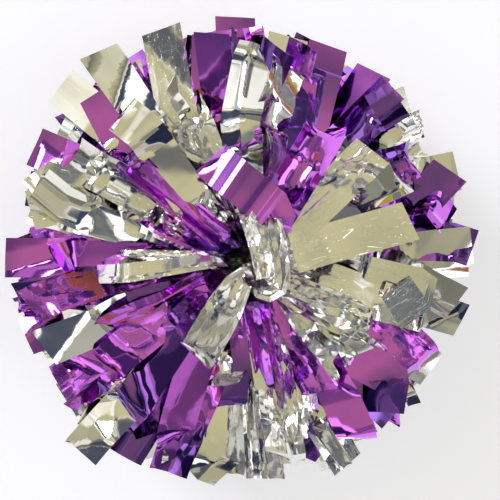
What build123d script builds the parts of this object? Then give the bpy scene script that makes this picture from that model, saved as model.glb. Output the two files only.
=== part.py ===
from build123d import *

import os
from dataclasses import dataclass
from math import acos, ceil, cos, degrees, pi, radians, sin, tan

# A metallic cheer pom pom with a baton grip, standing on one of its two ends.
#
# A ribbed grip tube joins two moulded end spools. Each spool has a plug that fits
# in the tube, a flange that keeps the hand off the streamers, and a hollow post.
# Fourteen fringe sheets, seven of each colour, are rolled round each post. A fringe
# sheet is one piece of metallised film: an uncut header band, and streamers slit
# from it. Tape and a cable tie hold the roll of headers on the post.
#
# The streamers leave the top of the roll, bend over its rim and fan out in seven
# nested rings. Ring 1 is the outermost, which droops over the hand, and ring 7 is
# the crown. On the lower end the floor flattens the crown, and the pom rests on it.
#
# Frame: millimetres, +Z up along the grip, origin on the floor under the grip.

# --- driving sizes -----------------------------------------------------------------
STREAMER_FREE = 140.0  # from the top of the header band to the tip
STREAMER_WIDTH = 25.0
FILM = 0.3  # modelled film thickness
HEADER_HEIGHT = 16.0  # uncut band of a fringe sheet
SLIT_DEPTH = 1.0  # how far the slits run below the roll's open end
SLIT_SHARE = 0.9  # share of a streamer's pitch that it fills where it is gathered
ROOT_CLEAR = 3.0  # radius of the outermost streamers' bend over the rim of the roll

GRIP_LENGTH = 92.0  # between the two flanges
GRIP_DIAMETER = 24.0
GRIP_WALL = 2.5
RIB_HEIGHT = 0.8
RIB_WIDTH = 3.0
RIB_PITCH = 8.0
RIB_COUNT = 9

FLANGE_DIAMETER = 42.0
FLANGE_THICKNESS = 2.5
FLANGE_EDGE = 0.8
PLUG_LENGTH = 18.0
PLUG_BORE = 12.0
POST_DIAMETER = 12.0
POST_BORE = 8.0
BORE_TAPER_DROP = 1.0  # from each face of the flange to an end of the taper between the two bores
PIN_DIAMETER = 3.0
PIN_DEPTH = 9.0  # from the flange's face to the pin's axis
PIN_EDGE = 0.375

CAP_HEAD_HEIGHT = 1.6
CAP_EDGE = 0.5
CAP_STEM_LENGTH = 9.0
CAP_STEM_WALL = 1.2
CAP_FLOOR = 1.6  # thickness under the head, down to the stem's bore
CAP_SPLIT_WIDTH = 1.2
CAP_SPLIT_LENGTH = 5.8

TAPE_HEIGHT = 12.0
TAPE_THICKNESS = 0.3
TIE_WIDTH = 4.8
TIE_THICKNESS = 1.3
TIE_HEAD_DEPTH = 5.0  # outwards from the strap
TIE_HEAD_WIDTH = 6.4  # round the roll
TIE_HEAD_HEIGHT = 7.6  # along the grip
TIE_TAIL = 3.0  # trimmed end that stands out of the head
TIE_HEAD_EDGE = 0.8
TIE_SLOT_GAP = 0.6
TIE_PAWL_WIDTH = 1.3

FLOOR_DROP = 82.0  # from the lower roll's open end to the floor
FLOOR_CLEAR = 3.5  # least height of a tip that doesn't lie on the floor, before its bend over the rim
FLOOR_BEND = 12.0  # radius of a streamer's bend where it meets the floor
RIM_STEP = 20.0  # degrees between the flat stretches of a bend over the rim
OUTER_STEP = 16.0  # the same beyond the rim, at most

HEADER_GAP = 0.2  # between one header band and the next
FLANGE_GAP = 0.3  # between the flange and the header bands
PLUG_GAP = 0.05  # round the spool's plug in the tube
PIN_GAP = 0.05  # round a cross pin
STEM_GAP = 0.1  # round the cap's stem
TAPE_GAP = 0.1
TIE_GAP = 0.1


@dataclass(frozen=True)
class Ring:
    """A ring of streamers. Angles are from the grip's axis, in degrees."""

    root: float  # how far the streamers turn as they leave the roll
    tip: float  # the way they point at their tips
    colours: str  # P for purple and S for silver, in order round the ring
    floor_lift: float = -1.0  # height of a streamer that lies along the floor


CROWN_ORDER = "SSPPPSPPSPSPPSSS"
RING_6_ORDER = "SSSPPPSSPSPPPPPPSSPSPS"
RING_5_ORDER = "SPSPPPSPSSPSSPPPPPPSSSSPPPSS"
RING_4_ORDER = "SPPPSPPSPPSSPSSPPPSPPSPSSSSPSPSS"
RING_3_ORDER = "SPSPSPPPPPSSPSSPSPPSSSPSSSPSSPSSPS"
RING_2_ORDER = "PS" * 17
SKIRT_ORDER = "PPSS" * 7 + "PS"

TOP_RINGS = (
    Ring(96, 160, SKIRT_ORDER),
    Ring(80, 134, RING_2_ORDER),
    Ring(65, 108, RING_3_ORDER),
    Ring(51, 96, RING_4_ORDER),
    Ring(38, 88, RING_5_ORDER),
    Ring(26, 80, RING_6_ORDER),
    Ring(14, 70, CROWN_ORDER),
)
STEEPEST = degrees(acos((FLOOR_DROP - FLOOR_CLEAR) / STREAMER_FREE))  # that a straight streamer can hang
BOTTOM_RINGS = (
    Ring(110, 90, SKIRT_ORDER),
    Ring(93, 84, RING_2_ORDER),
    Ring(80, 76, RING_3_ORDER),
    Ring(68, 68, RING_4_ORDER),
    Ring(max(56, STEEPEST), max(57, STEEPEST), RING_5_ORDER),
    Ring(42, 90, RING_6_ORDER, floor_lift=0.9),
    Ring(30, 90, CROWN_ORDER, floor_lift=0.0),
)
COLOURS = {"purple": "P", "silver": "S"}

# --- sizes worked out from those ---------------------------------------------------
SHEET_PITCH = FILM + HEADER_GAP
SHEETS_PER_END = len(TOP_RINGS) * len(COLOURS)
ROLL_RADIUS = POST_DIAMETER / 2 + HEADER_GAP + SHEETS_PER_END * SHEET_PITCH
BEND_CENTRE = ROLL_RADIUS + ROOT_CLEAR
ROLL_BASE = GRIP_LENGTH / 2 + FLANGE_THICKNESS + FLANGE_GAP
ROLL_TOP = ROLL_BASE + HEADER_HEIGHT
GRIP_CENTRE_Z = FLOOR_DROP + ROLL_TOP
REACH = BEND_CENTRE + STREAMER_FREE + STREAMER_WIDTH
TAPE_RADIUS = ROLL_RADIUS + TAPE_GAP
TIE_RADIUS = TAPE_RADIUS + TAPE_THICKNESS + TIE_GAP
TUBE_BORE = GRIP_DIAMETER - 2 * GRIP_WALL


def point(radius, height):
    """A point of a profile, in the X-Z plane."""
    return Vector(radius, 0, height)


def turned_face(corners):
    """Revolves a closed outline of (radius, height) corners about the Z axis."""
    outline = Polyline(*[point(r, z) for r, z in corners], close=True)
    return revolve(Face(Wire(outline.edges())), Axis.Z, 360)


def to_end(shape, end):
    """Moves a shape from an end's own frame, whose origin is the roll's open face, into place."""
    if end == "top":
        return Pos(0, 0, GRIP_CENTRE_Z + ROLL_TOP) * shape
    return Pos(0, 0, GRIP_CENTRE_Z - ROLL_TOP) * Rot(180, 0, 0) * shape


def heading_at(angle):
    """The direction of travel at this angle from the grip's axis."""
    return point(sin(radians(angle)), cos(radians(angle)))


def right_of(angle):
    """The direction square to that, on the side the streamer bends to."""
    return point(cos(radians(angle)), -sin(radians(angle)))


def even_stops(turn):
    """A gentle bend's angles, from its start, where one flat stretch of film meets the next."""
    count = max(1, ceil(abs(turn) / OUTER_STEP))
    return [turn * (number + 1) / count for number in range(count)]


def rim_stops(turn):
    """The same for the bend over the rim, at angles that every sheet shares, so that they nest."""
    count = ceil(turn / RIM_STEP)
    return [min(RIM_STEP * (number + 1), turn) for number in range(count)]


def streamer_runs(ring, bend_radius):
    """The (length, stops) of each stretch of a streamer, from the end of its slit to its tip."""
    bend = bend_radius * radians(ring.root)
    turn = ring.tip - ring.root
    runs = [(SLIT_DEPTH, []), (bend, rim_stops(ring.root))]
    if ring.floor_lift < 0:
        runs.append((STREAMER_FREE - bend, even_stops(turn) if turn else []))
        return runs
    floor_height = FLOOR_DROP - FILM / 2 - ring.floor_lift - FLOOR_BEND * (1 - sin(radians(ring.root)))
    straight = (floor_height - bend_radius * sin(radians(ring.root))) / cos(radians(ring.root))
    floor_bend = FLOOR_BEND * radians(turn)
    runs += [(straight, []), (floor_bend, even_stops(turn))]
    runs.append((STREAMER_FREE - bend - straight - floor_bend, []))
    return runs


def middle_line(radius, runs):
    """The corners of a streamer's middle line, seen from its side."""
    corners, heading = [point(radius, -SLIT_DEPTH)], 0.0
    for length, stops in runs:
        here = corners[-1]
        if not stops:
            corners.append(here + heading_at(heading) * length)
            continue
        bend = length / radians(stops[-1])
        centre = here + right_of(heading) * bend
        corners += [centre - right_of(heading + stop) * bend for stop in stops]
        heading += stops[-1]
    return corners


def one_side(corners, offset):
    """The corners of one face of the film, at this distance from its middle line."""
    ahead = [(after - before).normalized() for before, after in zip(corners, corners[1:])]
    ahead = [ahead[0]] + ahead + [ahead[-1]]
    side = []
    for corner, coming, going in zip(corners, ahead, ahead[1:]):
        normals = coming.cross(Vector(0, 1, 0)), going.cross(Vector(0, 1, 0))
        mitre = (normals[0] + normals[1]) * (1 / (1 + normals[0].dot(normals[1])))
        side.append(corner + mitre * offset)
    return side


def streamer(ring, radius):
    """One streamer along +X: flat stretches of film, narrowed where it leaves the roll."""
    corners = middle_line(radius, streamer_runs(ring, BEND_CENTRE - radius))
    outline = one_side(corners, FILM / 2) + one_side(corners, -FILM / 2)[::-1]
    strip = extrude(make_face(Polyline(*outline, close=True)), STREAMER_WIDTH, dir=(0, 1, 0))
    half_width = STREAMER_WIDTH / 2
    full_at = half_width / tan(pi / len(ring.colours) * SLIT_SHARE)
    blade = Polyline(
        (0, 0),
        (full_at, -half_width),
        (full_at + REACH, -half_width),
        (full_at + REACH, half_width),
        (full_at, half_width),
        close=True,
    )
    plan = Pos(0, 0, -STREAMER_FREE) * extrude(make_face(blade), 2 * STREAMER_FREE)
    return Pos(0, -half_width, 0) * strip & plan


def fringe_sheet(ring, letter, sheet_index):
    """One fringe sheet in its end's own frame: a header band and the streamers slit from it."""
    places = len(ring.colours)
    radius = ROLL_RADIUS - HEADER_GAP - FILM / 2 - sheet_index * SHEET_PITCH
    outer = RegularPolygon(radius + FILM / 2, places, major_radius=False)
    inner = RegularPolygon(radius - FILM / 2, places, major_radius=False)
    band = Pos(0, 0, -HEADER_HEIGHT) * extrude(outer - inner, HEADER_HEIGHT - SLIT_DEPTH)
    one = streamer(ring, radius)
    copies = [
        Rot(0, 0, 360 * (place + 0.5) / places) * one
        for place, colour in enumerate(ring.colours)
        if colour == letter
    ]
    return band + copies


def grip_tube():
    """The ribbed baton tube, with a hole through it for each spool's cross pin."""
    half, outer = GRIP_LENGTH / 2, GRIP_DIAMETER / 2
    tube = Cylinder(outer, GRIP_LENGTH) - Cylinder(TUBE_BORE / 2, GRIP_LENGTH)
    rib = turned_face(
        [
            (outer - RIB_HEIGHT, -RIB_WIDTH / 2),
            (outer, -RIB_WIDTH / 2),
            (outer + RIB_HEIGHT, -RIB_WIDTH / 4),
            (outer + RIB_HEIGHT, RIB_WIDTH / 4),
            (outer, RIB_WIDTH / 2),
            (outer - RIB_HEIGHT, RIB_WIDTH / 2),
        ]
    )
    for number in range(RIB_COUNT):
        tube += Pos(0, 0, (number - (RIB_COUNT - 1) / 2) * RIB_PITCH) * rib
    hole = Rot(90, 0, 0) * Cylinder(PIN_DIAMETER / 2 + PIN_GAP, 2 * GRIP_DIAMETER)
    for side in (1, -1):
        tube -= Pos(0, 0, side * (half - PIN_DEPTH)) * hole
    return Pos(0, 0, GRIP_CENTRE_Z) * tube


def end_spool():
    """A spool in its end's own frame: the plug in the tube, the hand flange and the hollow post."""
    flange_top = -HEADER_HEIGHT - FLANGE_GAP
    flange_base = flange_top - FLANGE_THICKNESS
    plug_radius = TUBE_BORE / 2 - PLUG_GAP
    spool = turned_face(
        [
            (PLUG_BORE / 2, flange_base - PLUG_LENGTH),
            (plug_radius - FLANGE_EDGE, flange_base - PLUG_LENGTH),
            (plug_radius, flange_base - PLUG_LENGTH + FLANGE_EDGE),
            (plug_radius, flange_base),
            (FLANGE_DIAMETER / 2 - FLANGE_EDGE, flange_base),
            (FLANGE_DIAMETER / 2, flange_base + FLANGE_EDGE),
            (FLANGE_DIAMETER / 2, flange_top - FLANGE_EDGE),
            (FLANGE_DIAMETER / 2 - FLANGE_EDGE, flange_top),
            (POST_DIAMETER / 2, flange_top),
            (POST_DIAMETER / 2, 0),
            (POST_BORE / 2, 0),
            (POST_BORE / 2, flange_top - BORE_TAPER_DROP),
            (PLUG_BORE / 2, flange_base - BORE_TAPER_DROP),
        ]
    )
    hole = Rot(90, 0, 0) * Cylinder(PIN_DIAMETER / 2 + PIN_GAP, 2 * GRIP_DIAMETER)
    return spool - Pos(0, 0, flange_base - PIN_DEPTH) * hole


def spool_pin():
    """The cross pin that locks a spool's plug in the tube, with a chamfered end each way."""
    pin = Cylinder(PIN_DIAMETER / 2, GRIP_DIAMETER - 2 * RIB_HEIGHT)
    pin = chamfer(pin.edges(), PIN_EDGE)
    flange_base = -HEADER_HEIGHT - FLANGE_GAP - FLANGE_THICKNESS
    return Pos(0, 0, flange_base - PIN_DEPTH) * Rot(90, 0, 0) * pin


def post_cap():
    """The cap that closes a spool's hollow post: a domed head on a split tubular stem."""
    head_radius, stem_radius = POST_DIAMETER / 2, POST_BORE / 2 - STEM_GAP
    cap = turned_face(
        [
            (0, 0),
            (0, CAP_HEAD_HEIGHT),
            (head_radius - 2 * CAP_EDGE, CAP_HEAD_HEIGHT),
            (head_radius, CAP_HEAD_HEIGHT - CAP_EDGE),
            (head_radius, 0),
            (stem_radius, 0),
            (stem_radius, -CAP_STEM_LENGTH + CAP_EDGE),
            (stem_radius - CAP_EDGE, -CAP_STEM_LENGTH),
            (stem_radius - CAP_STEM_WALL, -CAP_STEM_LENGTH),
            (stem_radius - CAP_STEM_WALL, -CAP_FLOOR),
            (0, -CAP_FLOOR),
        ]
    )
    split = Box(2 * stem_radius, CAP_SPLIT_WIDTH, CAP_SPLIT_LENGTH)
    return cap - Pos(0, 0, -CAP_STEM_LENGTH + CAP_SPLIT_LENGTH / 2) * split


def tape_wrap():
    """The tape round the roll of header bands."""
    low = -(HEADER_HEIGHT + TAPE_HEIGHT) / 2
    high = low + TAPE_HEIGHT
    return turned_face(
        [
            (TAPE_RADIUS, low),
            (TAPE_RADIUS + TAPE_THICKNESS, low),
            (TAPE_RADIUS + TAPE_THICKNESS, high),
            (TAPE_RADIUS, high),
        ]
    )


def cable_tie():
    """The cable tie round the tape: the strap, its ratchet head and the trimmed tail through it."""
    outer = TIE_RADIUS + TIE_THICKNESS
    strap = turned_face(
        [
            (TIE_RADIUS, -TIE_WIDTH / 2),
            (outer, -TIE_WIDTH / 2),
            (outer, TIE_WIDTH / 2),
            (TIE_RADIUS, TIE_WIDTH / 2),
        ]
    )
    head = Box(TIE_HEAD_DEPTH, TIE_HEAD_WIDTH, TIE_HEAD_HEIGHT)
    head = chamfer(head.edges().filter_by(Axis.X), TIE_HEAD_EDGE)
    slot = Box(TIE_THICKNESS + TIE_SLOT_GAP, TIE_HEAD_WIDTH, TIE_WIDTH + TIE_SLOT_GAP)
    tail = Box(TIE_THICKNESS, TIE_HEAD_WIDTH + TIE_TAIL, TIE_WIDTH)
    head_at = outer - TIE_THICKNESS / 2 + TIE_HEAD_DEPTH / 2
    placed = Pos(head_at, 0, 0) * (head - slot) + Pos(head_at, TIE_TAIL / 2, 0) * tail
    pawl = Box(TIE_THICKNESS + TIE_SLOT_GAP, TIE_PAWL_WIDTH, TIE_WIDTH + TIE_SLOT_GAP)
    return Pos(0, 0, -HEADER_HEIGHT / 2) * (strap + placed + Pos(head_at, 0, 0) * pawl)


def write(name, shape):
    """Writes one sub-part, and says how many solids it has."""
    solids = shape.solids()
    export_step(solids[0] if len(solids) == 1 else Compound(children=list(solids)), f"parts/{name}.step")
    print(name, len(solids), "solid(s)")


def main():
    """Builds every sub-part."""
    os.makedirs("parts", exist_ok=True)
    write("grip_tube", grip_tube())
    for end, rings in (("top", TOP_RINGS), ("bottom", BOTTOM_RINGS)):
        write(f"end_spool_{end}", to_end(end_spool(), end))
        write(f"spool_pin_{end}", to_end(spool_pin(), end))
        write(f"post_cap_{end}", to_end(post_cap(), end))
        write(f"tape_wrap_{end}", to_end(tape_wrap(), end))
        write(f"cable_tie_{end}", to_end(cable_tie(), end))
        sheet_index = 0
        for number, ring in enumerate(rings, start=1):
            for colour, letter in COLOURS.items():
                sheet = fringe_sheet(ring, letter, sheet_index)
                write(f"fringe_{end}_{number}_{colour}", to_end(sheet, end))
                sheet_index += 1


main()
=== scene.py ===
"""A metallic cheer pom pom: two bunches of slit film bound to the ends of a baton grip."""

import logging
import math
from dataclasses import dataclass
from enum import Enum

import bpy
import numpy as np
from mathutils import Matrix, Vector


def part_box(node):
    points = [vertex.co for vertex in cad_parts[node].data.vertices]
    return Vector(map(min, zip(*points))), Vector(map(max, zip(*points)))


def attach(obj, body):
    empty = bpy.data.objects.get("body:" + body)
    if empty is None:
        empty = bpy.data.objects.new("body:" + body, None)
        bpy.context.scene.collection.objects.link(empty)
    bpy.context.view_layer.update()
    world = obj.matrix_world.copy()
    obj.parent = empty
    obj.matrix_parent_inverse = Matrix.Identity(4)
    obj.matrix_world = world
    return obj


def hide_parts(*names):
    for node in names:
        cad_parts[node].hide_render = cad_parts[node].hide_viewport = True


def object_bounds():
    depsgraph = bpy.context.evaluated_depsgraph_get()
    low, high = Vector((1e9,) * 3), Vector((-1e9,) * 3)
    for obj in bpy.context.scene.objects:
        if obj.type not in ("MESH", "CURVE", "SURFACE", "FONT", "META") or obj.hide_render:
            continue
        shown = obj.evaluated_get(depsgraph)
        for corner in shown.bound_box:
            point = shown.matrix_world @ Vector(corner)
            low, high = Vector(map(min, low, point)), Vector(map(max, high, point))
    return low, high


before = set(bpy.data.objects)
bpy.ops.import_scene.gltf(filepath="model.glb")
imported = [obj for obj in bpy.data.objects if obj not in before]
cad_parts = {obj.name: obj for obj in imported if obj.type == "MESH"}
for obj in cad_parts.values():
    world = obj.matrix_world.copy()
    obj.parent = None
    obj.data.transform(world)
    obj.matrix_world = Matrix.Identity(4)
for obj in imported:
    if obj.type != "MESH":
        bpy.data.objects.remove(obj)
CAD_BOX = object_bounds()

LOG = logging.getLogger("pom_pom")
MM = 0.001
FULL_TURN = 360.0


class FilmColour(Enum):
    """The two films that the streamers are slit from."""

    PURPLE = "purple"
    SILVER = "silver"


class End(Enum):
    """The two ends of the baton, with the way each one points along Z."""

    TOP = 1
    BOTTOM = -1

    @property
    def word(self) -> str:
        """The end's name in the names of nodes and bodies."""
        return self.name.lower()


# --- finishes ----------------------------------------------------------------------

STRETCH = (1.5, 0.6, 1.0)  # crumples run lengthwise
CRUMPLE_LAYERS = ((1.0, 1.0), (2.6, 0.35))  # times the crumple scale, and share of the height
WAVE_SCALE = 28.0
# One noise mask serves real smudges, which roughen the film, and painted reflection patches of a deeper tint.
SMUDGE_AND_REFLECTION_SCALE = 60.0
SMUDGE_AND_REFLECTION_CONTRAST = 3.0
# Painted shade: broad noise patches darken the film's colour where darker surroundings would be reflected.
PAINTED_SHADE_SCALE = 13.0  # a patch is about as large as a streamer
PAINTED_SHADE_CONTRAST = 6.0
PAINTED_SHADE_OFFSET = -2.6
BLOTCH_SCALE = 70.0
PLASTIC_BUMP = 0.6
BLOTCH_ROUGHNESS = 0.2


class NodeGraph:
    """Adds nodes to a tree and joins them, from left to right."""

    def __init__(self, tree: bpy.types.NodeTree) -> None:
        """Starts on an empty tree.

        Args:
            tree: a material's, world's or group's node tree.
        """
        self.tree = tree
        self.column = 0

    def add(self, kind: str, **settings: object) -> bpy.types.Node:
        """Adds one node.

        Args:
            kind: the node's type name.
            settings: attributes to set on it.

        Returns:
            The new node.
        """
        node = self.tree.nodes.new(kind)
        node.location = (self.column * 180, 0)
        self.column += 1
        for name, value in settings.items():
            setattr(node, name, value)
        return node

    def join(self, out: bpy.types.NodeSocket, into: bpy.types.NodeSocket) -> None:
        """Links one socket to another.

        Args:
            out: the socket that gives the value.
            into: the socket that takes it.
        """
        self.tree.links.new(out, into)

    def feed(self, into: bpy.types.NodeSocket, value: object) -> None:
        """Gives a socket its value.

        Args:
            into: the socket.
            value: another socket to link it to, or a plain value.
        """
        if isinstance(value, bpy.types.NodeSocket):
            self.join(value, into)
        else:
            into.default_value = value

    def maths(
        self, operation: str, *values: object, clamp: bool = False
    ) -> bpy.types.NodeSocket:
        """Adds a Math node.

        Args:
            operation: the node's operation.
            values: numbers, or sockets to take them from.
            clamp: whether the result is kept between 0 and 1.

        Returns:
            The result's socket.
        """
        node = self.add("ShaderNodeMath", operation=operation, use_clamp=clamp)
        for socket, value in zip(node.inputs, values):
            self.feed(socket, value)
        return node.outputs[0]

    def noise(
        self, vector: bpy.types.NodeSocket, scale: object, detail: float
    ) -> bpy.types.NodeSocket:
        """Adds a Noise Texture.

        Args:
            vector: the socket to take places from.
            scale: a number, or a socket to take it from.
            detail: how many finer layers it has.

        Returns:
            The socket of its value, from 0 to 1.
        """
        node = self.add("ShaderNodeTexNoise")
        self.join(vector, node.inputs["Vector"])
        self.feed(node.inputs["Scale"], scale)
        node.inputs["Detail"].default_value = detail
        return node.outputs["Fac"]

    def mix(self, low: object, high: object, factor: object) -> bpy.types.NodeSocket:
        """Adds a Mix node for colours.

        Args:
            low: the colour, or socket, for a factor of 0.
            high: the colour, or socket, for a factor of 1.
            factor: the factor's socket.

        Returns:
            The result's socket.
        """
        node = self.add("ShaderNodeMix", data_type="RGBA")
        for name, value in (("A", low), ("B", high), ("Factor", factor)):
            self.feed(node.inputs[name], value)
        return node.outputs["Result"]


def start_group(
    name: str, inputs: tuple[str, ...], outputs: tuple[str, ...]
) -> tuple[NodeGraph, bpy.types.Node, bpy.types.Node]:
    """Starts a node group that turns a vector and some numbers into numbers.

    Args:
        name: the group's name.
        inputs: names of the numbers it takes.
        outputs: names of the numbers it gives.

    Returns:
        The group's graph, and the nodes of its inputs and outputs.
    """
    group = bpy.data.node_groups.new(name, "ShaderNodeTree")
    new_socket = group.interface.new_socket
    new_socket("Vector", in_out="INPUT", socket_type="NodeSocketVector")
    for socket in inputs:
        new_socket(socket, in_out="INPUT", socket_type="NodeSocketFloat")
    for socket in outputs:
        new_socket(socket, in_out="OUTPUT", socket_type="NodeSocketFloat")
    graph = NodeGraph(group)
    return graph, graph.add("NodeGroupInput"), graph.add("NodeGroupOutput")


def wrinkle_group() -> bpy.types.NodeTree:
    """Builds the film's surface: flat facets where it is crumpled, and long soft waves.

    Returns:
        A group that turns a UV map and a crumple mask into a height, a mask for smudges and painted
        reflection, and a painted shade mask.
    """
    inputs, outputs = ("Crumple", "Crumple Scale", "Wave Height"), ("Height", "Smudge", "Painted Shade")
    graph, given, result = start_group("film_wrinkles", inputs, outputs)
    place = given.outputs["Vector"]
    stretch = graph.add("ShaderNodeVectorMath", operation="MULTIPLY")
    stretch.inputs[1].default_value = STRETCH
    graph.join(place, stretch.inputs[0])
    heights = []
    for scale, share in CRUMPLE_LAYERS:
        facets = graph.add("ShaderNodeTexVoronoi", feature="F1")
        graph.join(stretch.outputs[0], facets.inputs["Vector"])
        layer_scale = graph.maths("MULTIPLY", given.outputs["Crumple Scale"], scale)
        graph.join(layer_scale, facets.inputs["Scale"])
        away = graph.add("ShaderNodeVectorMath", operation="SUBTRACT")
        graph.join(stretch.outputs[0], away.inputs[0])
        graph.join(facets.outputs["Position"], away.inputs[1])
        tilt = graph.add("ShaderNodeVectorMath", operation="SUBTRACT")
        tilt.inputs[1].default_value = (0.5, 0.5, 0.5)
        graph.join(facets.outputs["Color"], tilt.inputs[0])
        plane = graph.add("ShaderNodeVectorMath", operation="DOT_PRODUCT")
        graph.join(away.outputs[0], plane.inputs[0])
        graph.join(tilt.outputs[0], plane.inputs[1])
        heights.append(graph.maths("MULTIPLY", plane.outputs["Value"], share / MM))
    both = graph.maths("ADD", *heights)
    crumple = graph.maths("MULTIPLY", both, given.outputs["Crumple"])
    waves = graph.noise(place, WAVE_SCALE, detail=1.0)
    wave = graph.maths("MULTIPLY", waves, given.outputs["Wave Height"])
    graph.join(graph.maths("ADD", crumple, wave), result.inputs["Height"])
    # Real smudges roughen the film; this mask also lays painted reflection patches of a deeper tint.
    smudge_and_painted_reflection = graph.noise(place, SMUDGE_AND_REFLECTION_SCALE, detail=4.0)
    graph.join(graph.maths("POWER", smudge_and_painted_reflection, SMUDGE_AND_REFLECTION_CONTRAST), result.inputs["Smudge"])
    # Painted shade: broad patches that darken the film's colour.
    tone = graph.noise(place, PAINTED_SHADE_SCALE, detail=0.0)
    spread = graph.maths("MULTIPLY_ADD", tone, PAINTED_SHADE_CONTRAST, PAINTED_SHADE_OFFSET, clamp=True)
    graph.join(spread, result.inputs["Painted Shade"])
    return graph.tree


def grain_group() -> bpy.types.NodeTree:
    """Builds the grain of moulded plastic.

    Returns:
        A group that gives a height and a blotch mask from object coordinates.
    """
    inputs, outputs = ("Grain Scale",), ("Height", "Blotch")
    graph, given, result = start_group("moulded_grain", inputs, outputs)
    place = given.outputs["Vector"]
    grain = graph.noise(place, given.outputs["Grain Scale"], detail=3.0)
    graph.join(grain, result.inputs["Height"])
    graph.join(graph.noise(place, BLOTCH_SCALE, detail=2.0), result.inputs["Blotch"])
    return graph.tree


@dataclass(frozen=True)
class FilmFinish:
    """Metallised film: a mirror with a tinted lacquer, with painted reflection and painted shade patches in
    its colour.
    """

    name: str
    tint: tuple[float, float, float]
    # painted reflection colour, for the film's tint shifting with the angle it is seen at
    deep_tint: tuple[float, float, float]
    # painted shade colour, for darker surroundings reflected in the film
    dark_tint: tuple[float, float, float]
    lacquer: float
    lacquer_roughness: float = 0.06
    lacquer_ior: float = 1.5
    roughness: float = 0.05
    smudge_roughness: float = 0.2
    crumple_roughness: float = 0.14
    crumple_scale: float = 120.0
    wave_height: float = 0.22
    bump_depth: float = 1.0 * MM

    def material(self, wrinkles: bpy.types.NodeTree) -> bpy.types.Material:
        """Builds the material.

        Args:
            wrinkles: the group from wrinkle_group.

        Returns:
            The new material.
        """
        made = bpy.data.materials.new(self.name)
        made.use_nodes = True
        graph = NodeGraph(made.node_tree)
        shader = made.node_tree.nodes["Principled BSDF"]
        shader.inputs["Metallic"].default_value = 1.0
        shader.inputs["Coat Weight"].default_value = self.lacquer
        shader.inputs["Coat Roughness"].default_value = self.lacquer_roughness
        shader.inputs["Coat IOR"].default_value = self.lacquer_ior
        place = graph.add("ShaderNodeUVMap", uv_map="film")
        crumple = graph.add("ShaderNodeAttribute", attribute_name="crumple")
        surface = graph.add("ShaderNodeGroup", node_tree=wrinkles)
        surface.inputs["Crumple Scale"].default_value = self.crumple_scale
        surface.inputs["Wave Height"].default_value = self.wave_height
        graph.join(place.outputs["UV"], surface.inputs["Vector"])
        graph.join(crumple.outputs["Fac"], surface.inputs["Crumple"])
        bump = graph.add("ShaderNodeBump")
        bump.inputs["Strength"].default_value = 1.0
        bump.inputs["Distance"].default_value = self.bump_depth
        graph.join(surface.outputs["Height"], bump.inputs["Height"])
        graph.join(bump.outputs["Normal"], shader.inputs["Normal"])
        smudge_and_painted_reflection, tone = surface.outputs["Smudge"], surface.outputs["Painted Shade"]
        # Painted reflection: patches of the deeper tint stand in for the film's colour shifting with angle.
        colour = graph.mix((*self.tint, 1.0), (*self.deep_tint, 1.0), smudge_and_painted_reflection)
        # Painted shade: broad patches of the dark tint stand in for darker surroundings reflected in the film.
        darker = graph.mix(colour, (*self.dark_tint, 1.0), tone)
        graph.join(darker, shader.inputs["Base Color"])
        rough = graph.maths("MULTIPLY_ADD", smudge_and_painted_reflection, self.smudge_roughness, self.roughness)
        rougher = graph.maths("MULTIPLY_ADD", crumple.outputs["Fac"], self.crumple_roughness, rough)
        graph.join(rougher, shader.inputs["Roughness"])
        return made


@dataclass(frozen=True)
class PlasticFinish:
    """Moulded plastic, tape or nylon."""

    name: str
    colour: tuple[float, float, float]
    worn: tuple[float, float, float]
    roughness: float
    grain_scale: float
    grain_height: float
    coat: float = 0.0

    def material(self, grain: bpy.types.NodeTree) -> bpy.types.Material:
        """Builds the material.

        Args:
            grain: the group from grain_group.

        Returns:
            The new material.
        """
        made = bpy.data.materials.new(self.name)
        made.use_nodes = True
        graph = NodeGraph(made.node_tree)
        shader = made.node_tree.nodes["Principled BSDF"]
        shader.inputs["Coat Weight"].default_value = self.coat
        place = graph.add("ShaderNodeTexCoord")
        surface = graph.add("ShaderNodeGroup", node_tree=grain)
        surface.inputs["Grain Scale"].default_value = self.grain_scale
        graph.join(place.outputs["Object"], surface.inputs["Vector"])
        bump = graph.add("ShaderNodeBump")
        bump.inputs["Strength"].default_value = PLASTIC_BUMP
        bump.inputs["Distance"].default_value = self.grain_height
        graph.join(surface.outputs["Height"], bump.inputs["Height"])
        graph.join(bump.outputs["Normal"], shader.inputs["Normal"])
        blotch = surface.outputs["Blotch"]
        colour = graph.mix((*self.colour, 1.0), (*self.worn, 1.0), blotch)
        graph.join(colour, shader.inputs["Base Color"])
        rough = graph.maths("MULTIPLY_ADD", blotch, BLOTCH_ROUGHNESS, self.roughness)
        graph.join(rough, shader.inputs["Roughness"])
        return made


# --- streamers ---------------------------------------------------------------------


@dataclass
class Leg:
    """A flat stretch of a streamer. Lengths are in metres and angles in degrees."""

    length: float
    polar: float  # from the baton's axis
    heading: float  # round the axis
    roll: float = 0.0  # about the stretch's own line
    over: float = 3 * MM  # length of the bend that leads into it


@dataclass
class Lie:
    """How one streamer lies: flat stretches, and the pleats where it is gathered."""

    start: float  # azimuth of its root, in degrees
    legs: list[Leg]
    pleat: float = 78.0
    opens: tuple[float, float] = (0.0, 0.35)  # shares of its length between which the pleats open
    crease_depth: float = 2.0
    cup: float = 0.0
    crumple: float = 0.05
    creases: int = 3
    crease_slope: float = 0.15
    across: bool = False  # creases square across, and not at any slant


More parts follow.
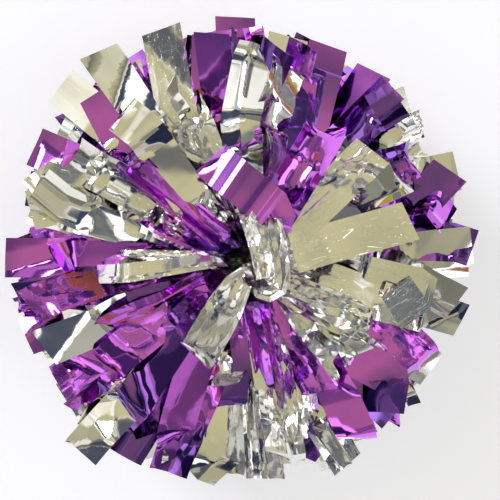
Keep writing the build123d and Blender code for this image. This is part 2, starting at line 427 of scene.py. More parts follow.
@dataclass(frozen=True)
class StreamerCut:
    """The cut of a streamer, and how finely its mesh follows it."""

    width: float = 25 * MM
    free_length: float = 140 * MM
    header: float = 16 * MM
    thickness: float = 0.1 * MM
    rows: int = 56
    pleats: int = 8
    bend_centre: float = 16.2 * MM  # radius at which every bend over the rim has its centre
    least_polar: float = 3.0  # degrees, so that the bend over the rim has a length
    roll_run: float = 30 * MM  # length over which a streamer takes its first roll
    rim_run: float = 24 * MM  # length over which its pleats rise, from flat at the rim
    rim_height: float = 0.1  # share of their height at the rim
    crease_run: float = 30 * MM  # length over which creases come in
    crease_reach: tuple[float, float] = (5 * MM, 24 * MM)
    crease_span: tuple[float, float] = (0.2, 0.98)  # share of its length
    crease_slant: float = 0.8  # radians
    crumple_height: float = 0.7 * MM
    crumple_gathered: float = 0.5  # how crumpled it is where it is gathered


def smooth_step(value: np.ndarray) -> np.ndarray:
    """Eases values in and out.

    Args:
        value: any numbers.

    Returns:
        0 where they are 0 or less, 1 where they are 1 or more, and a smooth step between.
    """
    value = np.clip(value, 0, 1)
    return value * value * (3 - 2 * value)


def turn_between(before: float | np.ndarray, after: float | np.ndarray) -> float | np.ndarray:
    """The shorter way round from one azimuth to another.

    Args:
        before: in degrees.
        after: in degrees.

    Returns:
        The turn, from -180 to 180 degrees.
    """
    return (after - before + FULL_TURN / 2) % FULL_TURN - FULL_TURN / 2


class Streamer:
    """One streamer's surface, as rows of points from the header to the tip."""

    def __init__(self, cut: StreamerCut, lie: Lie, radius: float, rng: np.random.Generator) -> None:
        """Works the surface out.

        Args:
            cut: its size.
            lie: how it lies.
            radius: of its header band.
            rng: for its crumples.
        """
        self.cut, self.lie, self.radius = cut, lie, radius
        self.along = np.linspace(0, sum(leg.length for leg in lie.legs), cut.rows + 1)
        self.share = self.along / cut.free_length
        self.points = self._surface(rng)

    def _angles(self) -> tuple[np.ndarray, np.ndarray, np.ndarray]:
        """Works out which way each row points.

        Returns:
            The polar angle, heading and roll of each row, in radians.
        """
        first = self.lie.legs[0]
        rim_polar = math.radians(max(abs(first.polar), self.cut.least_polar))
        over_rim = (self.cut.bend_centre - self.radius) * rim_polar
        polar = first.polar * np.clip(self.along / over_rim, 0, 1)
        heading = np.full_like(self.along, first.heading)
        roll = first.roll * smooth_step(self.along / self.cut.roll_run)
        at = 0.0
        for before, after in zip(self.lie.legs, self.lie.legs[1:]):
            at += before.length
            turned = smooth_step((self.along - at) / after.over + 0.5)
            polar = polar + (after.polar - before.polar) * turned
            heading = heading + turn_between(before.heading, after.heading) * turned
            roll = roll + (after.roll - before.roll) * turned
        return np.radians(polar), np.radians(heading), np.radians(roll)

    def _pleats(self, rng: np.random.Generator) -> tuple[np.ndarray, np.ndarray]:
        """Folds each row into pleats, which open towards the tip.

        Args:
            rng: for the pleats' sizes and folds.

        Returns:
            Where the points are across the streamer, and how far the pleats lift them.
        """
        cut, lie = self.cut, self.lie
        opened = smooth_step((self.share - lie.opens[0]) / (lie.opens[1] - lie.opens[0]))
        fold = np.radians(lie.pleat * (1 - opened) + lie.crease_depth)
        ends = rng.uniform(0.2, 1.1, (2, cut.pleats))  # how sharply they fold at root and tip
        sharp = np.sort(rng.permuted(np.arange(cut.pleats)) % 3) == 0
        ends = np.where(sharp[None], ends, ends * rng.choice([0.4, 1.0]))
        blend = np.clip(self.share, 0, 1)[:, None]
        fold = fold[:, None] * (ends[:1] * (1 - blend) + ends[1:] * blend)
        zigzag = rng.choice([-1.0, 1.0], cut.pleats)
        zigzag[1::2] = -zigzag[0::2]
        piece = cut.width * rng.dirichlet(np.full(cut.pleats, 4.0))
        edge = np.zeros((len(fold), 1))
        x = np.concatenate([edge, np.cumsum(piece * np.cos(fold), axis=1)], axis=1)
        y = np.concatenate([edge, np.cumsum(piece * np.sin(fold) * zigzag, axis=1)], axis=1)
        x -= x[:, -1:] / 2
        y -= y.mean(axis=1, keepdims=True)
        rise = smooth_step(self.along / cut.rim_run)
        y *= (cut.rim_height + (1 - cut.rim_height) * rise)[:, None]
        y += lie.cup * opened[:, None] * (x**2 / (cut.width / 2) - cut.width / 6)
        return x, y

    def _creases(self, x: np.ndarray, rng: np.random.Generator) -> np.ndarray:
        """Makes sharp creases, each one a tent with flat sides.

        Args:
            x: where the points are across the streamer.
            rng: for the creases' places, slants and slopes.

        Returns:
            How far they lift each point.
        """
        cut, lie = self.cut, self.lie
        lifted = np.zeros_like(x)
        clear_of_root = smooth_step(self.along / cut.crease_run)[:, None]
        for _ in range(lie.creases):
            slant = 0.0 if lie.across else rng.normal(0, cut.crease_slant)
            middle = rng.uniform(*cut.crease_span) * self.along[-1]
            away = np.abs((self.along[:, None] - middle) * math.cos(slant) + x * math.sin(slant))
            slope = rng.normal(0, lie.crease_slope)
            lifted += slope * np.clip(rng.uniform(*cut.crease_reach) - away, 0, None) * clear_of_root
        return lifted

    def _crumples(self, x: np.ndarray, rng: np.random.Generator) -> np.ndarray:
        """Makes crumples, which are longer where the film is smoother.

        Args:
            x: where the points are across the streamer.
            rng: for the crumples.

        Returns:
            How far they lift each point.
        """
        rough = rng.normal(0, 1, x.shape)
        for _ in range(4 if self.lie.crumple > 0.3 else 16):
            rough[1:-1] = 0.25 * rough[:-2] + 0.5 * rough[1:-1] + 0.25 * rough[2:]
        gathered = 1 - smooth_step((self.share - 0.1) / 0.4)
        mask = np.clip(self.cut.crumple_gathered * gathered + self.lie.crumple, 0, 1)
        self.mask = mask[:, None] * np.ones_like(x)
        return rough / rough.std() * self.cut.crumple_height * self.mask

    def _surface(self, rng: np.random.Generator) -> np.ndarray:
        """Puts the streamer together along its line.

        Args:
            rng: for its pleats, creases and crumples.

        Returns:
            The points, as an array of rows by places across by 3, in the end's own frame.
        """
        polar, heading, roll = self._angles()
        forward = np.stack(
            [np.sin(polar) * np.cos(heading), np.sin(polar) * np.sin(heading), np.cos(polar)], axis=1
        )
        step = np.diff(self.along)[:, None] * (forward[1:] + forward[:-1]) / 2
        root = math.radians(self.lie.start)
        start = self.radius * np.array([math.cos(root), math.sin(root), 0.0])
        line = np.concatenate([start[None], start + np.cumsum(step, axis=0)])
        side = np.stack([-np.sin(heading), np.cos(heading), np.zeros_like(heading)], axis=1)
        face = np.cross(forward, side)
        across = side * np.cos(roll)[:, None] + face * np.sin(roll)[:, None]
        normal = np.cross(forward, across)

        x, y = self._pleats(rng)
        y += self._creases(x, rng)
        y += self._crumples(x, rng)
        skew = x * rng.normal(0, 0.1) * (self.share**3)[:, None]  # tips aren't cut quite square
        return (
            line[:, None]
            + across[:, None] * x[..., None]
            + normal[:, None] * y[..., None]
            + forward[:, None] * skew[..., None]
        )


@dataclass(frozen=True)
class RingHabit:
    """How the streamers of a ring tend to lie, as ranges of angles in degrees."""

    root: float
    tip: float
    root_spread: float = 5.0
    tip_spread: float = 12.0
    drift_spread: float = 20.0
    roll_spread: float = 24.0
    lift: float = 0.0  # how much further out the tips reach on the side the pom is fluffed to


TOP_HABITS = (
    RingHabit(96, 156, tip_spread=6),
    RingHabit(82, 132, tip_spread=8),
    RingHabit(76, 108, tip_spread=9, lift=8),
    RingHabit(66, 102, tip_spread=10, lift=10),
    RingHabit(54, 104, tip_spread=12, lift=10),
    RingHabit(42, 100, tip_spread=14, lift=8),
    RingHabit(34, 96, tip_spread=14),
)
BOTTOM_HABITS = (
    RingHabit(108, 92, tip_spread=3),
    RingHabit(90, 84, tip_spread=3, root_spread=3),
    RingHabit(80, 76, tip_spread=4),
    RingHabit(67, 68, tip_spread=3),
    RingHabit(56, 57, tip_spread=2, root_spread=2),
    RingHabit(42, 90, tip_spread=0, root_spread=0),
    RingHabit(30, 90, tip_spread=0, root_spread=0),
)
FULL_SIDE = 125.0  # azimuth of the side that the pom is fluffed to

FOLDED_SHARE = 0.25  # of the upper streamers, whose tips are folded aside
FOLD_TURN = (50, 100)
SLIVER_SHARE = 0.07  # of the streamers, which stay gathered to the tip
SLIVER_PLEAT = 84.0
SLIVER_OPENS = (0.05, 2.2)
WANDER = 11.0  # degrees that a streamer's heading strays at each bend
BENDS = (3 * MM, 8 * MM, 30 * MM)
FLOOR_BEND = 18 * MM
LEAST_SPARE = 4 * MM  # length that is bent down at the tip of a placed streamer
SPARE_POLAR = (120, 165)
SPARE_BEND = 7 * MM
MASK_AT_HEADER = 0.3
HEADER_SIDES = 48
UV_STEP = 0.05  # between neighbouring streamers on the film's map, in metres
UV_RING_STEP = 0.31
NEAR = 0.2 * MM
SMOOTH_ANGLE = math.radians(20)


@dataclass(frozen=True)
class Placed:
    """A streamer of the upper bunch whose lie is known. Lengths are in mm and angles in degrees.

    Each way is (x, y) or (x, y, rise from the way before), and the first is measured from the
    roll's open end.
    """

    ways: tuple[tuple[float, ...], ...]
    height: float | None = None  # above the roll at the first way; any spare length hangs at the tip
    root: float | None = None  # azimuth of its root, if not the nearest to the first way
    sway: float = 12.0  # how far it may turn and tilt from that
    rolls: tuple[float, ...] = (0.0,)
    bend: float = 5.0
    pleat: float = 78.0
    opens: tuple[float, float] = (0.05, 0.5)
    crease_depth: float = 0.5
    cup: float = 0.0
    crumple: float = 0.0
    creases: int = 3
    crease_slope: float = 0.12
    across: bool = False


PLACED = {
    (7, FilmColour.SILVER): (
        Placed(((26, 9), (100, 29, -2)), bend=3, creases=4, crease_slope=0.05, sway=2, crumple=0.04),
        Placed(
            ((-20, 4), (-76, 0, -6)),
            50, opens=(0.3, 1.0), crumple=0.15, rolls=(0, 38), sway=3, crease_depth=4,
        ),
        Placed(((-4, -5), (-30, -52, -6)), 80, opens=(0.45, 0.85), crumple=0.1, creases=4, crease_slope=0.2),
        Placed(((22, -22), (38, -112, -12)), crumple=0.5, crease_depth=8, creases=6, crease_slope=0.3),
        Placed(((4, -3), (62, -64, -4)), 40, opens=(0.25, 0.9), crumple=0.8, creases=6, crease_slope=0.25),
        Placed(((14, -8), (70, -36, -8)), 44, opens=(0.3, 0.7), crumple=0.5, creases=5, crease_slope=0.3),
        Placed(
            ((20, 18), (76, 72, 2)),
            66, opens=(0.2, 0.55), crumple=0.2, creases=5, crease_slope=0.2, sway=3,
        ),
        Placed(((10, -8), (13, -4, 4), (9, 18, 6)), 88, root=320, opens=(0.3, 1.4), crumple=1.0, creases=6),
    ),
    (7, FilmColour.PURPLE): (
        Placed(((15, 36), (-22, 66, -3)), 82, bend=4, creases=6, crease_slope=0.22, across=True, sway=3),
        Placed(((6, -22), (16, -78, -8)), 46, opens=(0.7, 2.2), crumple=0.2, creases=4, rolls=(0, 38), sway=4),
        Placed(
            ((-14, 16), (-70, 62, -8)),
            52, opens=(0.45, 1.7), crumple=0.1, creases=3, crease_slope=0.15, sway=4,
        ),
        Placed(((-4, -20), (-12, -90, -10)), 30, opens=(0.2, 0.6), creases=3, crease_slope=0.2),
        Placed(((20, 42), (34, 66, 4), (46, 84, -12)), 70, cup=0.6, bend=12, sway=4),
        Placed(((-26, -12), (-86, -40, -14)), 30, opens=(0.3, 0.8), rolls=(0, -16)),
        Placed(((-12, 9), (-52, 30, -10)), 46, opens=(0.25, 0.9), rolls=(0, 26), crumple=0.06, sway=4),
        Placed(((10, -18), (46, -80, -14)), 40, opens=(0.35, 0.9), rolls=(0, 16), crumple=0.2),
    ),
    (6, FilmColour.SILVER): (
        Placed(((-58, 76), (-86, 114, -8)), 36),
        Placed(((-58, 42), (-94, 60, -4)), 40, crumple=0.03, cup=0.3),
        Placed(((-16, 40), (-36, 92, -4)), 46, crumple=0.15, crease_depth=6, creases=4, crease_slope=0.3),
        Placed(((-36, 42), (-64, 84, -4)), 48, creases=4, crease_slope=0.25, sway=5),
        Placed(((-48, 24), (-88, 40, -6)), 36, opens=(0.3, 0.8), creases=4, crease_slope=0.25, sway=5),
        Placed(((76, -6), (112, -14, -2), (92, -28, -2)), bend=3, crumple=0.03),
        Placed(((60, -48), (98, -88, -10)), 32, crumple=0.03),
        Placed(((68, 46), (98, 58, -6)), 40, rolls=(0, -8)),
        Placed(((14, -50), (26, -118, -20)), 30, crumple=0.4, crease_depth=5, creases=5, crease_slope=0.3),
        Placed(((46, -8), (84, -22, -4), (112, -30, -10)), 40, bend=3, crumple=0.05),
    ),
    (5, FilmColour.SILVER): (
        Placed(((-92, -38), (-130, -54, -8)), 24, sway=6),
        Placed(((-78, -88), (-106, -122, -8)), 14, creases=4, crease_slope=0.2),
        Placed(((-64, 92), (-94, 136, -8)), 20),
        Placed(((-92, 42), (-132, 56, -8)), 24, crumple=0.03),
        Placed(((-62, 24), (-112, 34, -6)), 30, creases=4, crease_slope=0.25),
        Placed(((-4, 92), (4, 130, -4)), 34, creases=4, crease_slope=0.2),
        Placed(((14, 88), (26, 126, -6)), 30, crumple=0.05, rolls=(0, 14)),
        Placed(((64, 66), (92, 94, -6)), 30, creases=4, crease_slope=0.2),
        Placed(((92, -2), (138, -26, -10)), 20),
        Placed(((84, 14), (126, 12, -10)), 24, creases=4, crease_slope=0.2),
        Placed(((-36, -96), (-42, -130, -8)), 16, crumple=0.05),
        Placed(((-6, -78), (-12, -142, -14)), opens=(0.3, 1.3), crumple=0.2),
        Placed(((8, -78), (14, -144, -14)), opens=(0.3, 1.3), crumple=0.2),
    ),
    (6, FilmColour.PURPLE): (
        Placed(((-52, -10), (-104, -14, -12)), 26, crumple=0.04),
        Placed(((-44, -42), (-74, -90, -12)), 40, rolls=(0, 14)),
        Placed(((-30, -52), (-46, -108, -14)), 36, rolls=(0, -10)),
        Placed(((-50, -30), (-88, -62, -12)), 34, creases=4, crease_slope=0.2),
        Placed(((-62, 2), (-112, 4, -10)), 30, rolls=(0, 8)),
        Placed(((40, -48), (84, -86, -6), (98, -100, -8)), 46, bend=3, sway=5),
        Placed(((50, -66), (72, -112, -8)), 30, creases=4, crease_slope=0.2),
        Placed(((30, 78), (40, 124, -10)), 24, crumple=0.05),
        Placed(((80, -28), (112, -58, -10)), 30, crumple=0.2, crease_depth=5, creases=5, crease_slope=0.25),
        Placed(((-70, 60), (-96, 110, -4)), 40, bend=3, sway=5),
        Placed(((82, 50), (118, 42, -8)), 34, rolls=(0, -20)),
        Placed(((76, 60), (104, 68, -6)), 20, cup=0.5),
    ),
    (5, FilmColour.PURPLE): (
        Placed(((-98, 60), (-136, 76, -8)), 20, sway=5),
        Placed(((-104, -14), (-146, -24, -8)), 20),
        Placed(((96, 20), (122, 28, -8)), 14),
        Placed(((58, 86), (84, 124, -12)), 10, rolls=(0, -16)),
        Placed(((40, 84), (54, 140, -10)), 20),
        Placed(((-16, 98), (-22, 148, -8)), 16),
        Placed(((-68, -52), (-88, -86, -10)), 24, rolls=(0, 12)),
    ),
    (4, FilmColour.PURPLE): (
        Placed(((-88, 4), (-154, 4, -2)), 22, bend=20, sway=6),
        Placed(((-4, 98), (-6, 158, -6)), 8, rolls=(0, 10)),
    ),
    (4, FilmColour.SILVER): (
        Placed(((-98, -30), (-130, -38, -8)), 18),
        Placed(((-84, 86), (-118, 114, -10)), 14),
        Placed(((-44, 96), (-54, 150, -8)), 14, crumple=0.05),
        Placed(((20, 104), (28, 146, -8)), 12),
        Placed(((74, 90), (106, 102, -10)), 16),
        Placed(((102, 38), (138, 42, -10)), 14),
        Placed(((106, 54), (136, 60, -8)), 26, creases=4, crease_slope=0.2),
        Placed(((108, 8), (146, 12, -8)), 22, creases=4, crease_slope=0.2),
        Placed(((100, -24), (142, -38, -8)), 14),
        Placed(((90, -48), (124, -72, -8)), 12, creases=4, crease_slope=0.2),
        Placed(((-72, -84), (-106, -122, -10)), 14, rolls=(0, 12)),
    ),
}


@dataclass
class FringeSheet:
    """One fringe sheet: a header band rolled on a post, and its streamers."""

    end: End
    ring: int
    colour: FilmColour
    habit: RingHabit
    cut: StreamerCut = StreamerCut()

    @property
    def node(self) -> str:
        """The CAD node that this sheet stands for."""
        return f"fringe_{self.end.word}_{self.ring}_{self.colour.value}"

    def measure(self, exit_height: float) -> tuple[list[float], float]:
        """Reads the streamers' places and the header's radius from the CAD node.

        Args:
            exit_height: Z of the roll's open end.

        Returns:
            The streamers' azimuths in degrees, and the radius.
        """
        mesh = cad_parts[self.node].data
        at = np.empty(len(mesh.vertices) * 3)
        mesh.vertices.foreach_get("co", at)
        at = at.reshape(-1, 3)
        height = (at[:, 2] - exit_height) * self.end.value
        angle = np.degrees(np.arctan2(at[:, 1], at[:, 0])) % FULL_TURN
        rim = np.abs(height + self.cut.header) < NEAR
        sides = len(np.unique(np.round(angle[rim] / 2) % (FULL_TURN / 2)))  # of the CAD's band
        pitch = FULL_TURN / sides
        roots = np.abs(height) < NEAR
        places = sorted(set(np.floor(angle[roots] / pitch).astype(int) % sides))
        radius = float(np.linalg.norm(at[rim, :2], axis=1).mean())
        return [(place + 0.5) * pitch for place in places], radius

    def lie_of(self, azimuth: float, rng: np.random.Generator) -> Lie:
        """Chooses how a streamer lies, by its ring's habit.

        Args:
            azimuth: its place, in degrees.
            rng: the sheet's own random numbers.

        Returns:
            The streamer's lie.
        """
        habit = self.habit
        cuts = np.sort(rng.uniform(0.2, 0.95, 3))
        ease, drift = rng.uniform(0.6, 1.0), rng.normal(0, habit.drift_spread)
        lift = habit.lift * math.cos(math.radians(azimuth - FULL_SIDE))
        lean = rng.normal(0, habit.tip_spread) - lift
        folded = self.end is End.TOP and rng.random() < FOLDED_SHARE
        sliver = rng.random() < SLIVER_SHARE
        legs = []
        for number, (before, after) in enumerate(zip((0, *cuts), (*cuts, 1))):
            middle = (before + after) / 2
            polar = habit.root + (habit.tip - habit.root) * middle**ease + lean * middle
            heading = azimuth + drift * middle + rng.normal(0, WANDER) * middle
            if folded and number == len(cuts):
                heading += rng.choice([-1, 1]) * rng.uniform(*FOLD_TURN)
            legs.append(
                Leg(
                    (after - before) * self.cut.free_length,
                    polar + rng.normal(0, habit.root_spread),
                    heading,
                    rng.normal(0, habit.roll_spread) * (0.3 + middle),
                    rng.choice(BENDS),
                )
            )
        opens = rng.uniform(0.3, 0.6)
        return Lie(
            azimuth,
            legs,
            pleat=SLIVER_PLEAT if sliver else rng.uniform(70, 80),
            opens=SLIVER_OPENS if sliver else (0.02, opens),
            crease_depth=rng.choice([0.3, 2.0, 7.0], p=[0.5, 0.3, 0.2]),
            cup=rng.normal(0, 0.15),
            crumple=rng.choice([0.0, 0.03, 0.1, 0.5], p=[0.5, 0.25, 0.2, 0.05]),
            creases=rng.integers(1, 6),
            crease_slope=rng.choice([0.04, 0.12, 0.28]),
        )

    def floor_streamer(
        self, azimuth: float, radius: float, exit_height: float, rng: np.random.Generator
    ) -> Lie:
        """Leads a lower streamer down to the floor and out along it.

        Args:
            azimuth: its place, in degrees.
            radius: of its header band.
            exit_height: Z of the roll's open end.
            rng: the sheet's own random numbers.

        Returns:
            The streamer's lie.
        """
        root = self.habit.root
        rim = self.cut.bend_centre - radius
        down = (exit_height - rim * math.sin(math.radians(root))) / math.cos(math.radians(root))
        reach = rim * math.radians(root) + down - 3 * MM
        flat = Leg(self.cut.free_length - reach, 90, azimuth + rng.normal(0, 4), over=FLOOR_BEND)
        return Lie(azimuth, [Leg(reach, root, azimuth), flat], crumple=0.0, crease_depth=0.5)

    def placed(
        self, spot: Placed, azimuth: float, radius: float, rng: np.random.Generator
    ) -> Lie:
        """Leads a streamer through the places that it is known to pass.

        Args:
            spot: those places.
            azimuth: of the streamer's root, in degrees.
            radius: of its header band.
            rng: the sheet's own random numbers.

        Returns:
            The streamer's lie.
        """
        turn = math.radians(azimuth)
        here = np.array([radius * math.cos(turn), radius * math.sin(turn)])
        places = [np.array(at[:2]) * MM for at in spot.ways]
        tilt = 0.6 * spot.sway
        rises = [(at[2] + rng.normal(0, tilt)) * MM if len(at) > 2 else 0.0 for at in spot.ways]
        plans = [float(np.linalg.norm(b - a)) for a, b in zip([here, *places], places)]
        lengths = [0.0] + [math.hypot(p, r) for p, r in zip(plans[1:], rises[1:])]
        lengths[0] = max(self.cut.free_length - sum(lengths), plans[0] * 1.02)
        if spot.height is not None:
            lengths[0] = min(lengths[0], math.hypot(plans[0], spot.height * MM))
        rises[0] = math.sqrt(lengths[0] ** 2 - plans[0] ** 2)
        legs = []
        for number, (before, after) in enumerate(zip([here, *places], places)):
            along = after - before
            roll = spot.rolls[min(number, len(spot.rolls) - 1)]
            roll += rng.normal(0, spot.sway) * (number > 0)
            legs.append(
                Leg(
                    lengths[number],
                    math.degrees(math.atan2(plans[number], rises[number])),
                    math.degrees(math.atan2(along[1], along[0])),
                    roll,
                    spot.bend * MM,
                )
            )
        spare = self.cut.free_length - sum(lengths)
        if spare > LEAST_SPARE:
            last = legs[-1]
            polar, heading = rng.uniform(*SPARE_POLAR), last.heading + rng.normal(0, 15)
            legs.append(Leg(spare, polar, heading, last.roll, SPARE_BEND))
        return Lie(
            azimuth,
            legs,
            spot.pleat,
            spot.opens,
            spot.crease_depth,
            spot.cup,
            spot.crumple,
            spot.creases,
            spot.crease_slope,
            spot.across,
        )

    def lies(
        self, azimuths: list[float], radius: float, exit_height: float, rng: np.random.Generator
    ) -> list[Lie]:
        """Chooses how every streamer of the sheet lies.

        Args:
            azimuths: their places, in degrees.
            radius: of the header band.
            exit_height: Z of the roll's open end.
            rng: the sheet's own random numbers.

        Returns:
            A lie for each of them.
        """
        if self.end is End.BOTTOM and self.ring >= 6:
            return [self.floor_streamer(a, radius, exit_height, rng) for a in azimuths]
        lies = [self.lie_of(a, rng) for a in azimuths]
        free = set(range(len(azimuths)))
        spots = PLACED.get((self.ring, self.colour), ()) if self.end is End.TOP else ()
        for spot in spots:
            x, y = spot.ways[0][:2]
            heading = math.degrees(math.atan2(y, x)) if spot.root is None else spot.root
            nearest = min(free, key=lambda n: abs(turn_between(heading, azimuths[n])))
            free.discard(nearest)
            lies[nearest] = self.placed(spot, azimuths[nearest], radius, rng)
        return lies

    def build(self, exit_height: float, rng: np.random.Generator) -> bpy.types.Object:
        """Builds the sheet's mesh.

        Args:
            exit_height: Z of the roll's open end.
            rng: the sheet's own random numbers.

        Returns:
            The finished piece.
        """
        azimuths, radius = self.measure(exit_height)
        corners, faces, uvs, masks = [], [], [], []
        rows, across = self.cut.rows + 1, self.cut.pleats + 1
        for number, lie in enumerate(self.lies(azimuths, radius, exit_height, rng)):
            streamer = Streamer(self.cut, lie, radius, rng)
            start = sum(len(c) for c in corners)
            corners.append(streamer.points.reshape(-1, 3))
            masks.append(streamer.mask.reshape(-1))
            u = np.linspace(0, self.cut.width, across)[None] + number * UV_STEP
            v = streamer.along[:, None] + self.ring * UV_RING_STEP
            uvs.append(np.stack(np.broadcast_arrays(u, v), axis=-1).reshape(-1, 2))
            index = start + np.arange(rows * across).reshape(rows, across)
            quads = np.stack([index[:-1, :-1], index[:-1, 1:], index[1:, 1:], index[1:, :-1]], axis=-1)
            faces.append(quads.reshape(-1, 4))
        sides = HEADER_SIDES
        turn = np.linspace(0, 2 * np.pi, sides, endpoint=False)
        ring = np.stack([radius * np.cos(turn), radius * np.sin(turn)], axis=1)
        start = sum(len(c) for c in corners)
        for height in (-self.cut.header, -0.5 * MM):
            corners.append(np.column_stack([ring, np.full(sides, height)]))
            uvs.append(np.column_stack([turn * radius, np.full(sides, height)]))
            masks.append(np.full(sides, MASK_AT_HEADER))
        low = start + np.arange(sides)
        after = start + (np.arange(sides) + 1) % sides
        faces.append(np.stack([low, after, after + sides, low + sides], axis=1))
        at = np.concatenate(corners)
        at[:, 2] = exit_height + at[:, 2] * self.end.value
        return self._object(at, np.concatenate(faces), np.concatenate(uvs), np.concatenate(masks))

    def _object(
        self, at: np.ndarray, faces: np.ndarray, uv: np.ndarray, mask: np.ndarray
    ) -> bpy.types.Object:
        """Makes a closed mesh object of the surface.

        Args:
            at: the corners.
            faces: four corners each.
            uv: a place on the film for each corner, in metres.
            mask: how crumpled each corner is, from 0 to 1.

        Returns:
            The new object.
        """
        at[:, 2] = np.maximum(at[:, 2], CAD_BOX[0].z + NEAR)  # nothing goes into the floor
        mesh = bpy.data.meshes.new(f"film_{self.node}")
        mesh.from_pydata(at.tolist(), [], faces.tolist())
        layer = mesh.uv_layers.new(name="film")
        layer.data.foreach_set("uv", uv[faces.reshape(-1)].astype(np.float32).reshape(-1))
        attribute = mesh.attributes.new("crumple", "FLOAT", "POINT")
        attribute.data.foreach_set("value", mask.astype(np.float32))
        piece = bpy.data.objects.new(f"film_{self.end.word}_{self.ring}_{self.colour.value}", mesh)
        bpy.context.collection.objects.link(piece)
        bpy.ops.object.select_all(action="DESELECT")
        piece.select_set(True)
        bpy.context.view_layer.objects.active = piece
        shell = piece.modifiers.new("thickness", "SOLIDIFY")
        shell.thickness = self.cut.thickness
        shell.offset = 0.0
        bpy.ops.object.modifier_apply(modifier=shell.name)
        bpy.ops.object.shade_smooth_by_angle(angle=SMOOTH_ANGLE)
        return piece


@dataclass
class Bunch:
    """All the fringe sheets at one end of the baton."""

    end: End
    habits: tuple[RingHabit, ...]
    seed: int

    def body_of(self, ring: int) -> str:
        """Finds the CAD body that a ring swirls with.

        Args:
            ring: from 1, the skirt over the hand, to 7, the crown.

        Returns:
            The body's name.
        """
        part = "skirt" if ring <= 2 else "middle" if ring <= 5 else "crown"
        return f"{self.end.word}_{part}"

    def exit_height(self) -> float:
        """Z of the roll's open end, which is the outer end of the spool's post."""
        low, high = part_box(f"end_spool_{self.end.word}")
        return high[2] if self.end is End.TOP else low[2]

    def build(self, films: dict[FilmColour, bpy.types.Material]) -> None:
        """Builds the sheets, gives them their film and ties them to the frame.

        Args:
            films: the material of each colour.
        """
        height = self.exit_height()
        for ring, habit in enumerate(self.habits, start=1):
            for colour in FilmColour:
                sheet = FringeSheet(self.end, ring, colour, habit)
                rng = np.random.default_rng([self.seed, ring, 1 if colour is FilmColour.PURPLE else 2])
                piece = sheet.build(height, rng)
                piece.data.materials.append(films[colour])
                azimuths, radius = sheet.measure(height)
                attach(piece, self.body_of(ring))
                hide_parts(sheet.node)
                LOG.info("%s: %d streamers, radius %.1f mm", sheet.node, len(azimuths), radius / MM)


# --- baton -------------------------------------------------------------------------


class Baton:
    """The grip, its spools and what binds the film to them. The CAD shapes stay."""

    finishes = {
        "grip_tube": PlasticFinish(
            "grip_plastic", (0.018, 0.018, 0.02), (0.03, 0.03, 0.032), 0.3, 900, 0.05 * MM
        ),
        "end_spool": PlasticFinish(
            "spool_plastic", (0.016, 0.016, 0.018), (0.03, 0.03, 0.03), 0.22, 700, 0.03 * MM
        ),
        "spool_pin": PlasticFinish(
            "pin_plastic", (0.03, 0.03, 0.035), (0.05, 0.05, 0.05), 0.4, 1200, 0.02 * MM
        ),
        "post_cap": PlasticFinish(
            "cap_plastic", (0.016, 0.016, 0.018), (0.03, 0.03, 0.03), 0.25, 900, 0.03 * MM
        ),
        "tape_wrap": PlasticFinish(
            "vinyl_tape", (0.03, 0.03, 0.034), (0.05, 0.05, 0.055), 0.3, 400, 0.05 * MM, 0.3
        ),
        "cable_tie": PlasticFinish(
            "tie_nylon", (0.62, 0.6, 0.54), (0.7, 0.68, 0.62), 0.35, 800, 0.03 * MM
        ),
    }

    def dress(self, grain: bpy.types.NodeTree) -> None:
        """Gives each CAD node of the baton its finish.

        Args:
            grain: the group from grain_group.
        """
        for stem, finish in self.finishes.items():
            material = finish.material(grain)
            for name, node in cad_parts.items():
                if name.startswith(stem):
                    node.data.materials.clear()
                    node.data.materials.append(material)
                    LOG.info("%s: %s", name, finish.name)


# --- studio ------------------------------------------------------------------------


ROOM_TONES = (  # where each tone starts, from 0 to 1
    (0.0, (0.015, 0.02, 0.06)),
    (0.2, (0.22, 0.23, 0.25)),
    (0.32, (0.62, 0.57, 0.38)),
    (0.44, (1.9, 1.9, 1.86)),
    (0.56, (0.05, 0.065, 0.13)),
    (0.7, (0.28, 0.27, 0.22)),
    (0.86, (1.3, 1.28, 1.22)),
    (0.92, (0.5, 0.1, 0.05)),
    (0.945, (0.1, 0.17, 0.36)),
    (0.97, (0.62, 0.46, 0.05)),
)


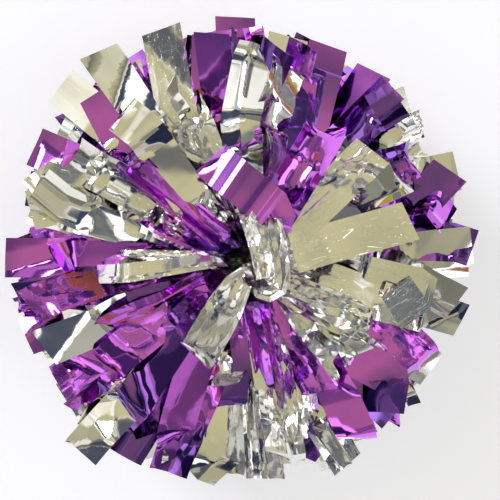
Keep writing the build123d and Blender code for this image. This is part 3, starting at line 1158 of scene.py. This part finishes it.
@dataclass
class Studio:
    """A pale floor, a room seen in reflections, two lights and the camera above."""

    floor_side: float = 12.0
    floor_colour: tuple[float, float, float] = (0.86, 0.88, 0.97)
    floor_glow: float = 0.39
    room_scale: float = 4.2  # patches of the room across its unit box
    room_blend: float = 0.15
    room_strength: float = 0.85
    ceiling: tuple[float, float, float] = (0.7, 0.65, 0.4)
    ceiling_from: tuple[float, float] = (0.86, 0.96)  # share of the way up where it comes in
    aim_height: float = 0.15
    camera_height: float = 1.62
    camera_offset: tuple[float, float] = (-0.075, 0.11)  # from the point above what it aims at
    camera_aim_height: float = 0.17
    aside: tuple[float, float] = (0.006, 0.004)
    lens: float = 160.0

    def build(self) -> None:
        """Builds the floor, lights and camera."""
        self._floor()
        self._sky()
        self._card("key", (-1.2, 1.1, 1.9), (0.7, 0.7), 17, (1.0, 0.98, 1.0))
        self._card("fill", (1.5, -0.9, 1.2), (0.7, 0.9), 5, (0.95, 0.97, 1.0))
        self._camera()

    def _floor(self) -> None:
        """A plain pale floor under the pom."""
        bpy.ops.object.select_all(action="DESELECT")
        bpy.ops.mesh.primitive_plane_add(size=self.floor_side, location=(0, 0, CAD_BOX[0].z))
        floor = bpy.context.active_object
        floor.name = "floor"
        paint = bpy.data.materials.new("floor_paint")
        paint.use_nodes = True
        shader = paint.node_tree.nodes["Principled BSDF"]
        shader.inputs["Base Color"].default_value = (*self.floor_colour, 1)
        shader.inputs["Roughness"].default_value = 0.8
        shader.inputs["Emission Color"].default_value = (1, 1, 1, 1)
        shader.inputs["Emission Strength"].default_value = self.floor_glow
        floor.data.materials.append(paint)

    def _sky(self) -> None:
        """A room of soft-edged patches under a warm ceiling, for the film to reflect."""
        world = bpy.data.worlds.new("room")
        bpy.context.scene.world = world
        world.use_nodes = True
        graph = NodeGraph(world.node_tree)
        sky = world.node_tree.nodes["Background"]
        place = graph.add("ShaderNodeTexCoord")
        cells = graph.add("ShaderNodeTexVoronoi", feature="SMOOTH_F1")
        cells.inputs["Scale"].default_value = self.room_scale
        cells.inputs["Smoothness"].default_value = self.room_blend
        graph.join(place.outputs["Generated"], cells.inputs["Vector"])
        tone = graph.add("ShaderNodeValToRGB")
        ramp = tone.color_ramp
        ramp.interpolation = "EASE"
        ramp.elements.remove(ramp.elements[1])
        for number, (position, colour) in enumerate(ROOM_TONES):
            stop = ramp.elements.new(position) if number else ramp.elements[0]
            stop.position, stop.color = position, (*colour, 1)
        split = graph.add("ShaderNodeSeparateColor")
        graph.join(cells.outputs["Color"], split.inputs["Color"])
        graph.join(split.outputs["Red"], tone.inputs["Fac"])
        axes = graph.add("ShaderNodeSeparateXYZ")
        graph.join(place.outputs["Generated"], axes.inputs["Vector"])
        overhead = graph.add("ShaderNodeMapRange", interpolation_type="SMOOTHSTEP")
        overhead.inputs["From Min"].default_value = self.ceiling_from[0]
        overhead.inputs["From Max"].default_value = self.ceiling_from[1]
        graph.join(axes.outputs["Z"], overhead.inputs["Value"])
        warmed = graph.mix(tone.outputs["Color"], (*self.ceiling, 1), overhead.outputs["Result"])
        graph.join(warmed, sky.inputs["Color"])
        sky.inputs["Strength"].default_value = self.room_strength

    def _card(
        self,
        name: str,
        at: tuple[float, float, float],
        size: tuple[float, float],
        power: float,
        colour: tuple[float, float, float],
    ) -> None:
        """A rectangular soft light aimed at the pom.

        Args:
            name: its name.
            at: where it is, in metres.
            size: its two sides.
            power: in watts.
            colour: of its light.
        """
        bpy.ops.object.light_add(type="AREA", location=at)
        light = bpy.context.active_object
        light.name = name
        light.data.shape = "RECTANGLE"
        light.data.size, light.data.size_y = size
        light.data.energy = power
        light.data.color = colour
        aim = Vector((0, 0, self.aim_height)) - Vector(at)
        light.rotation_euler = aim.to_track_quat("-Z", "Y").to_euler()

    def _camera(self) -> None:
        """Looks down on the upper bunch, nearly along the baton, with +Y up in the picture."""
        x, y = self.camera_offset
        distance = self.camera_height - self.camera_aim_height
        tilt = (-math.atan(y / distance), math.atan(x / distance), 0)
        place = (x + self.aside[0], y + self.aside[1], self.camera_height)
        bpy.ops.object.camera_add(location=place, rotation=tilt)
        camera = bpy.context.active_object
        camera.data.lens = self.lens
        camera.data.sensor_width = 36
        bpy.context.scene.camera = camera


def main() -> None:
    """Builds the pom pom and the studio round it."""
    logging.basicConfig(level=logging.INFO, format="%(message)s")
    bpy.context.scene.view_settings.view_transform = "Standard"
    wrinkles, grain = wrinkle_group(), grain_group()
    films = {
        FilmColour.PURPLE: FilmFinish(
            "purple_film", (0.68, 0.17, 0.86), (0.46, 0.08, 0.74), (0.2, 0.08, 0.42), lacquer=0.4
        ),
        FilmColour.SILVER: FilmFinish(
            "silver_film", (0.92, 0.91, 0.88), (0.82, 0.8, 0.74), (0.74, 0.75, 0.72), lacquer=0.2
        ),
    }
    materials = {colour: finish.material(wrinkles) for colour, finish in films.items()}
    Bunch(End.TOP, TOP_HABITS, seed=11).build(materials)
    Bunch(End.BOTTOM, BOTTOM_HABITS, seed=12).build(materials)
    Baton().dress(grain)
    Studio().build()


if __name__ == "__main__":
    main()
